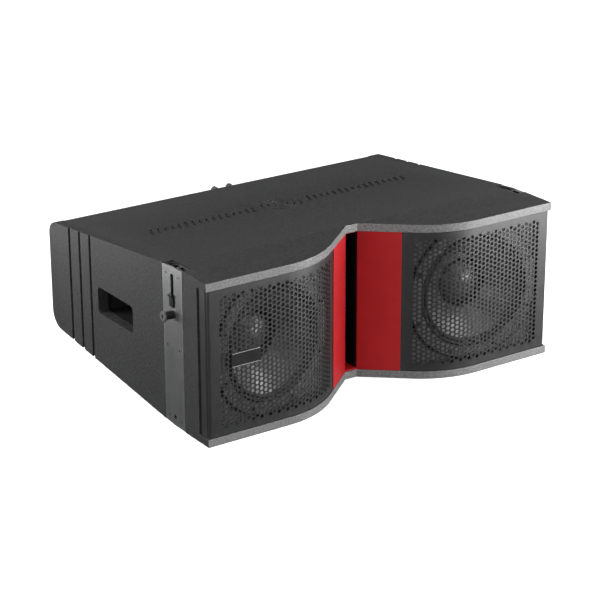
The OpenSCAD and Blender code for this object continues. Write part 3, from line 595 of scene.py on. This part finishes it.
def softened(node, finishes, width, segments=2, flush=None, pick=None):
    """A copy of a CAD node with its edges rounded off to width, apart from those where flush(edge) is true.

    pick(face), where there is one, gives the place in finishes of a face's finish.
    """
    bm = bmesh.new()
    bm.from_mesh(frame["nodes"][node].data)
    bmesh.ops.remove_doubles(bm, verts=bm.verts, dist=WELD)
    bmesh.ops.dissolve_limit(bm, angle_limit=FLAT_ANGLE, verts=bm.verts, edges=bm.edges)
    if width > 0:
        edges = [
            e for e in bm.edges
            if e.is_manifold and e.calc_face_angle() > CORNER_ANGLE and not (flush and flush(e))
        ]
        bmesh.ops.bevel(bm, geom=edges, offset=width, offset_type="OFFSET", segments=segments,
                        profile=0.5, affect="EDGES", clamp_overlap=True)
    bm.normal_update()
    for face in bm.faces:
        face.material_index = pick(face) if pick else 0
    return stand_in(finish_mesh(bm, node + "_finished", *finishes), node)


def lathe(name, profile, steps, matrix, finish, neck=None, neck_finish=None):
    """Closed ring turned from profile, a list of (radius, height), about the matrix's Z axis.

    Within the radius neck it takes neck_finish.
    """
    bm = bmesh.new()
    rings = []
    for i in range(steps):
        angle = 2 * pi * i / steps
        rings.append([bm.verts.new(matrix @ Vector((r * cos(angle), r * sin(angle), z))) for r, z in profile])
    count = len(profile)
    for i in range(steps):
        a, b = rings[i], rings[(i + 1) % steps]
        for k in range(count):
            j = (k + 1) % count
            face = bm.faces.new((a[k], a[j], b[j], b[k]))
            face.material_index = int(neck is not None and max(profile[k][0], profile[j][0]) < neck)
    bmesh.ops.remove_doubles(bm, verts=bm.verts, dist=1e-6)
    bmesh.ops.recalc_face_normals(bm, faces=bm.faces)
    return finish_mesh(bm, name, *(finish, neck_finish) if neck_finish else (finish,), sharp=50)


# Cabinet

def seam(edge):
    """Joints between panels are filled and painted over, so nothing is rounded off along them."""
    near = 0.5 * MM
    beside_side_panel = all(abs(abs(v.co.x) - INNER_X) < near for v in edge.verts)
    behind_lip = all(abs(v.co.y - FRONT - LIP) < near for v in edge.verts)
    return beside_side_panel or behind_lip


def front_edge(face):
    """1 for the faces of the plywood's front edge, 0 elsewhere. These faces take a lighter, glossier copy of the paint:
    painted light from the front, with a speckle of its own.
    """
    depth = face.calc_center_median().y - FRONT
    return int(face.normal.y < -0.25 and abs(face.normal.z) < 0.8 and depth < NOTCH_D + 2 * MM)


def add_cabinet():
    for node in ("top_panel", "bottom_panel"):
        softened(node, ("cabinet_paint", "edge_paint"), 0.9 * MM, flush=seam, pick=front_edge)
    for node in ("baffle_left", "baffle_right"):
        softened(node, ("baffle_paint",), 0)
    for node in ("side_panel_left", "side_panel_right", "rear_panel"):
        softened(node, ("cabinet_paint",), 0.9 * MM, flush=seam)
    for node in ("handle_cup_left", "handle_cup_right"):
        softened(node, ("moulded_black",), 1.2 * MM, 3)


# Grilles

GRILLE_GAP = 2 * MM           # how far the sheet is behind the plywood's edge
GRILLE_T = 1 * MM
BEND_R = 3 * MM
JOGGLE = 1.5 * MM             # step in the side return, just behind the bend
JOGGLE_DEPTHS = (8.5 * MM, 9.5 * MM)  # where the step starts and ends, behind the plywood's edge
RETURN_DEPTH = 28 * MM
HOLE_R = 3.5 * MM
HOLE_PITCH = 8.77 * MM
COLUMN_PITCH = 8.97 * MM
COLUMNS = 30
ROWS = 28                     # holes in every other column; the columns between have one less
FIRST_COLUMN = 18.3 * MM      # from the edge beside the flare to the perforated zone, along the sheet
PLAIN_STEPS = 3               # strips of plain sheet before the first column
BEND_STEPS = 5


def grille_path():
    """The sheet's outer face in plan, from the flare to the end of the side return.

    It is a list of stretches, each a length and a function from a distance along it to point and normal.
    """
    start = grille_low.x
    side = grille_high.x
    radius = LOBE_R - GRILLE_GAP
    angle = -pi / 2 - FLANK
    tangent = Vector((LOBE_X + radius * cos(angle), LOBE_R + radius * sin(angle)))

    def line(a, b):
        step = (b - a).normalized()
        return (b - a).length, lambda s: (a + step * s, Vector((step.y, -step.x)))

    def bend(center, r, first, last):
        def at(s):
            turn = first + (last - first) * s / (r * (last - first))
            normal = Vector((cos(turn), sin(turn)))
            return center + normal * r, normal
        return r * (last - first), at

    first = Vector((start, tangent.y + (tangent.x - start) * sin(FLANK) / cos(FLANK)))
    bend_x = side - JOGGLE - BEND_R
    side_return = [
        Vector((side - JOGGLE, GRILLE_GAP + BEND_R)),
        Vector((side - JOGGLE, JOGGLE_DEPTHS[0])),
        Vector((side, JOGGLE_DEPTHS[1])),
        Vector((side, RETURN_DEPTH)),
    ]
    return [
        line(first, tangent),
        bend(Vector((LOBE_X, LOBE_R)), radius, angle, -pi / 2),
        line(Vector((LOBE_X, GRILLE_GAP)), Vector((bend_x, GRILLE_GAP))),
        bend(Vector((bend_x, GRILLE_GAP + BEND_R)), BEND_R, -pi / 2, 0),
        *[line(a, b) for a, b in zip(side_return, side_return[1:])],
    ]


def on_path(path, distance):
    for length, at in path:
        if distance <= length + 1e-9:
            return at(max(0, distance))
        distance -= length
    return path[-1][1](path[-1][0])


def grille_stations(path):
    """Distances along the sheet where its strips meet: one strip for each column of holes, and plain ones."""
    ends = [0.0]
    for length, _ in path:
        ends.append(ends[-1] + length)
    bend_start, bend_end = ends[3:5]
    zone_end = FIRST_COLUMN + COLUMNS * COLUMN_PITCH
    stations = [FIRST_COLUMN * i / PLAIN_STEPS for i in range(PLAIN_STEPS)]
    stations += [FIRST_COLUMN + i * COLUMN_PITCH for i in range(COLUMNS + 1)]
    stations += [(zone_end + bend_start) / 2, bend_start]
    stations += [bend_start + (bend_end - bend_start) * i / BEND_STEPS for i in range(1, BEND_STEPS + 1)]
    return stations + ends[5:]


def add_grille(side, node):
    """Perforated sheet: hexagonal tiles with a round hole each, and plain quads around them."""
    path = grille_path()
    us = grille_stations(path)
    zone_low = (HEIGHT - ROWS * HOLE_PITCH) / 2
    half_hole = HOLE_PITCH / 2
    half_column = COLUMN_PITCH / 2
    low, high = grille_low.z, grille_high.z
    zs = [low] + [zone_low + i * half_hole for i in range(2 * ROWS + 1)] + [high]
    bm = bmesh.new()
    sheets = {0: {}, 1: {}}

    def vertex(layer, u, z):
        key = (round(u * 1e6), round(z * 1e6))
        if key not in sheets[layer]:
            point, normal = on_path(path, u)
            point = point - normal * (GRILLE_T * layer)
            sheets[layer][key] = bm.verts.new((side * point.x, FRONT + point.y, z))
        return sheets[layer][key]

    def face(corners):
        for layer in (0, 1):
            bm.faces.new([vertex(layer, *c) for c in corners])

    def wall(a, b):
        bm.faces.new([vertex(0, *a), vertex(0, *b), vertex(1, *b), vertex(1, *a)])

    def tile(u0, z0):
        u, z = u0 + half_column, z0 + half_hole
        outer = [
            (u + half_column, z), (u + half_column, z + half_hole), (u - half_column, z + half_hole),
            (u - half_column, z), (u - half_column, z - half_hole), (u + half_column, z - half_hole),
        ]
        ring = [(u + HOLE_R * cos(i * pi / 6), z + HOLE_R * sin(i * pi / 6)) for i in range(12)]
        for i in range(6):
            a, b, c = ring[2 * i], ring[2 * i + 1], ring[(2 * i + 2) % 12]
            face([outer[i], a, b])
            face([outer[i], b, c, outer[(i + 1) % 6]])
            wall(a, b)
            wall(b, c)

    for i in range(len(us) - 1):
        column = i - PLAIN_STEPS
        in_zone = 0 <= column < COLUMNS
        shifted = column % 2 == 1
        for k in range(len(zs) - 1):
            row = k - 1
            holed = in_zone and 0 <= row < 2 * ROWS
            if holed and shifted and row in (0, 2 * ROWS - 1):
                holed = False
            if not holed:
                face([(us[i], zs[k]), (us[i + 1], zs[k]), (us[i + 1], zs[k + 1]), (us[i], zs[k + 1])])
        if in_zone:
            shift = half_hole if shifted else 0
            for row in range(ROWS - int(shifted)):
                tile(us[i], zone_low + shift + row * HOLE_PITCH)
    for k in range(len(zs) - 1):
        wall((us[0], zs[k]), (us[0], zs[k + 1]))
        wall((us[-1], zs[k]), (us[-1], zs[k + 1]))
    for i in range(len(us) - 1):
        wall((us[i], low), (us[i + 1], low))
        wall((us[i], high), (us[i + 1], high))
    bmesh.ops.recalc_face_normals(bm, faces=bm.faces)
    return stand_in(finish_mesh(bm, node + "_perforated", "grille_paint", sharp=28), node)


BADGE_LINE_INSET = 1.6 * MM   # from the plate's upper and lower edge to the middle of a line
BADGE_LINE_T = 0.9 * MM
BADGE_LINE_DEPTH = 0.5 * MM
BADGE_LINE_MARGIN = 2 * MM    # from the plate's ends


def add_badge():
    """Blank plate with a light line along its upper and lower edge."""
    softened("badge_plate", ("badge",), 0.3 * MM)
    low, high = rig.box("badge_plate")
    length = high.x - low.x - 2 * BADGE_LINE_MARGIN
    for place, z in (("low", low.z + BADGE_LINE_INSET), ("high", high.z - BADGE_LINE_INSET)):
        bm = bmesh.new()
        bmesh.ops.create_cube(bm, size=1)
        for v in bm.verts:
            v.co = Vector((
                (low.x + high.x) / 2 + v.co.x * length,
                low.y + v.co.y * BADGE_LINE_DEPTH,
                z + v.co.z * BADGE_LINE_T,
            ))
        bmesh.ops.bevel(bm, geom=bm.edges[:], offset=0.15 * MM, segments=2, profile=0.5, affect="EDGES")
        line = finish_mesh(bm, f"badge_line_{place}", "badge_line")
        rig.ride(line, "cabinet")
        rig.slot(line, "badge")


# Horn

def slot_wall(face):
    """1 for the side walls inside the horn slot, which take the painted shade finish."""
    middle = face.calc_center_median()
    in_slot = abs(middle.x) < NOTCH_W / 2 + 0.6 * MM and middle.y > FRONT + NOTCH_D
    return int(in_slot and abs(face.normal.x) > 0.7)


def add_horn():
    # the slot's side walls take a finish with painted shade
    softened("horn_flare", ("red_paint", "slot_red"), 0.5 * MM, pick=slot_wall)
    softened("waveguide", ("moulded_black",), 0.6 * MM)
    softened("compression_driver", ("cast_black",), 0.8 * MM)


# Woofers. Depths are from the front plane of a woofer's ring into the cabinet.

MAGNET_S = 108.5 * MM         # depth of the middle of the magnet
SHADOW_RING_R = (130.8 * MM, 135.5 * MM)   # inner and outer radius
SHADOW_RING_S = (4.1 * MM, 4.95 * MM)      # front and back
CONE_R = 96 * MM
CONE_S = 5 * MM
CONE_DEPTH = 61 * MM
CONE_RINGS = (0.2, 0.42, 0.64)  # where the pressed rings are, as shares of the way down the cone
COIL_R = 32.5 * MM
COIL_GAP = 0.9 * MM
NECK_R = 49 * MM              # the cone is painted dark within this radius, as painted shade around the dust cap
CAP_DOME_R = 54 * MM
CAP_HALF_ANGLE = radians(45.6)
CAP_S = 58 * MM
SURROUND_R = 109 * MM
SURROUND_S = 4.2 * MM
SURROUND_ROLL = 4.6 * MM
SPIDER_R = 79 * MM
SPIDER_RIM_R = 67 * MM        # beyond this radius the spider is glued to the frame
SPIDER_S = 79 * MM            # far enough forward to clear the frame at the end of the cone's travel
SPIDER_PLEAT = 1.2 * MM
SPIDER_T = 0.6 * MM


def woofer_matrix(name):
    """Local Z runs from the ring's front plane into the cabinet, along the cone's travel."""
    joint = next(j for j in frame["joints"] if j["name"] == f"cone_travel_{name}")
    inward = -Vector(joint["axis"]).normalized()
    low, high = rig.box(f"magnet_{name}")
    magnet_mid = (low + high) / 2
    origin = magnet_mid - inward * MAGNET_S
    up = Vector((0, 0, 1))
    across = up.cross(inward).normalized()
    return Matrix.Translation(origin) @ Matrix((across, up, inward)).transposed().to_4x4()


def add_painted_shadow_ring(name, place):
    # Black ring at the baffle's front plane around the frame: painted shadow of the gap between the frame and the
    # baffle.
    inner, outer = SHADOW_RING_R
    front, back = SHADOW_RING_S
    ring = [(inner, front), (outer, front), (outer, back), (inner, back)]
    gasket = lathe(f"gasket_{name}", ring, 96, place, "gasket")
    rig.ride(gasket, "cabinet")
    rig.slot(gasket, NODE_SLOT[f"surround_{name}"])


def cone_wall(steps, lift):
    """Section of the cone's wall, slightly flared, with three shallow pressed rings."""
    section = []
    for i in range(steps + 1):
        t = i / steps
        ring = sum(0.5 * MM * max(0, 1 - abs(t - at) / 0.025) for at in CONE_RINGS)
        r = CONE_R - (CONE_R - COIL_R - COIL_GAP) * t
        section.append((r, CONE_S + lift + ring + CONE_DEPTH * (t - 0.1 * sin(pi * t))))
    return section


def add_cone(name, place):
    wall = cone_wall(60, 0.2 * MM) + cone_wall(60, 1.4 * MM)[::-1]
    cone = lathe(f"cone_{name}_pressed", wall, 128, place, "cone_paper", NECK_R, "cone_neck")
    stand_in(cone, f"cone_{name}")


def add_dust_cap(name, place):
    top = CAP_S + CAP_DOME_R * cos(CAP_HALF_ANGLE)

    def dome(r, count=20):
        turns = [CAP_HALF_ANGLE * i / count for i in range(count + 1)]
        return [(r * sin(turn), top - r * cos(turn)) for turn in turns]
    shell = dome(CAP_DOME_R) + dome(CAP_DOME_R - 0.9 * MM)[::-1]
    stand_in(lathe(f"dust_cap_{name}_domed", shell, 96, place, "cone_paper"), f"dust_cap_{name}")


def add_surround(name, place):
    """Two small rolls between the cone and the frame."""
    def rolls(lift, count=40):
        inner, outer = CONE_R - 2 * MM, SURROUND_R
        return [
            (inner + (outer - inner) * i / count,
             SURROUND_S + lift - SURROUND_ROLL * abs(sin(2 * pi * i / count)))
            for i in range(count + 1)
        ]
    section = rolls(0) + rolls(0.8 * MM)[::-1]
    stand_in(lathe(f"surround_{name}_rolled", section, 128, place, "surround_foam"), f"surround_{name}")


def add_spider(name, place):
    """The pleats ride with the cone, and the flat rim stays where it is glued to the frame."""
    def waves(lift, count=72):
        inner, outer = COIL_R + COIL_GAP, SPIDER_RIM_R - 0.2 * MM
        return [
            (inner + (outer - inner) * i / count,
             SPIDER_S + lift + SPIDER_PLEAT * sin(8 * pi * i / count))
            for i in range(count + 1)
        ]
    section = waves(0) + waves(SPIDER_T)[::-1]
    stand_in(lathe(f"spider_{name}_pleated", section, 96, place, "spider_cloth"), f"spider_{name}")
    rim = [
        (SPIDER_RIM_R, SPIDER_S), (SPIDER_R, SPIDER_S),
        (SPIDER_R, SPIDER_S + SPIDER_T), (SPIDER_RIM_R, SPIDER_S + SPIDER_T),
    ]
    glued_rim = lathe(f"spider_rim_{name}", rim, 96, place, "spider_cloth")
    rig.ride(glued_rim, "cabinet")
    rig.slot(glued_rim, NODE_SLOT[f"spider_{name}"])


def add_woofer(name):
    place = woofer_matrix(name)
    softened(f"frame_{name}", ("frame_metal",), 0.5 * MM)
    add_painted_shadow_ring(name, place)
    add_cone(name, place)
    add_dust_cap(name, place)
    add_surround(name, place)
    add_spider(name, place)
    softened(f"magnet_{name}", ("ferrite",), 0.8 * MM)
    softened(f"motor_steel_{name}", ("plain_steel",), 0.5 * MM)


# Rigging and rear

GUIDE_SKIN = 1 * MM           # faces further inside a guide than this are in its channels
KNOB_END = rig.box("lock_knob_right")[1].x
CAP_T = 0.5 * MM              # faces this near to the knob's end are its cap
LOCK_TRAVEL = 5 * MM          # how far a lock's knob pulls out
SINGLE_PARTS = {              # finish and edge rounding in mm
    "countersunk_screws": ("plain_steel", 0.12),
    "woofer_bolts": ("black_metal", 0.2),
    "rear_bracket": ("rig_steel", 0.4),
    "rear_link": ("zinc", 0.5),
    "rear_pivot_pin": ("plain_steel", 0.3),
    "rear_quick_pin": ("plain_steel", 0.3),
    "input_plate": ("black_metal", 0.4),
    "input_sockets": ("moulded_black", 0.4),
}


def inside_guide(name):
    """A function that is 1 for the faces within a guide's channels, which are painted dark as painted shade."""
    low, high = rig.box(f"link_guide_{name}")

    def pick(face):
        middle = face.calc_center_median()
        within_x = low.x + GUIDE_SKIN < middle.x < high.x - GUIDE_SKIN
        within_y = low.y + GUIDE_SKIN < middle.y < high.y - GUIDE_SKIN
        return int(within_x and within_y and middle.z < high.z - GUIDE_SKIN)
    return pick


def cap_face(face):
    """1 for the cap at the outer end of a lock's plunger."""
    return int(abs(face.calc_center_median().x) > KNOB_END - CAP_T)


def add_lock_spring(name):
    """The spring shortens against the back of the plate as the knob is pulled."""
    low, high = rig.box(f"lock_spring_{name}")
    outer_x = high.x if name == "right" else low.x
    spring = softened(f"lock_spring_{name}", ("plain_steel",), 0)
    keep = 1 - LOCK_TRAVEL / (high.x - low.x)
    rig.squash(spring, f"lock_pull_{name}", axis=(1, 0, 0), anchor=(outer_x, 0, 0), keep=keep)


def add_rigging():
    for name in ("left", "right"):
        softened(f"rig_plate_{name}", ("rig_steel",), 0.2 * MM)
        # the guide's channels take the painted shade finish
        softened(f"link_guide_{name}", ("zinc", "guide_inside"), 0.3 * MM, pick=inside_guide(name))
        softened(f"link_bar_{name}", ("black_metal",), 0.4 * MM)
        softened(f"link_tab_{name}", ("knob_black",), 0.5 * MM)
        softened(f"lock_bush_{name}", ("plain_steel",), 0.3 * MM)
        softened(f"lock_knob_{name}", ("knob_black",), 0.25 * MM)
        softened(f"lock_plunger_{name}", ("plain_steel", "knob_cap"), 0.3 * MM, pick=cap_face)
        add_lock_spring(name)
    for node, (finish, width) in SINGLE_PARTS.items():
        softened(node, (finish,), width * MM)


def paint_the_rest():
    """CAD nodes that are shown as they are get their slot's finish."""
    for node, obj in frame["nodes"].items():
        if not obj.hide_render:
            obj.data.materials.clear()
            obj.data.materials.append(FINISHES[NODE_SLOT[node]])


bpy.context.scene.view_settings.view_transform = "Standard"
add_camera()
add_world(0.15)
add_floor()
add_lights()
add_cabinet()
add_grille(1, "grille_right")
add_grille(-1, "grille_left")
add_badge()
add_horn()
add_woofer("right")
add_woofer("left")
add_rigging()
paint_the_rest()

sizes = {
    "cad": [list(corner) for corner in cad_bounds],
    "visual": [list(corner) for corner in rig.bounds()],
}
json.dump(sizes, open("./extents.json", "w"))
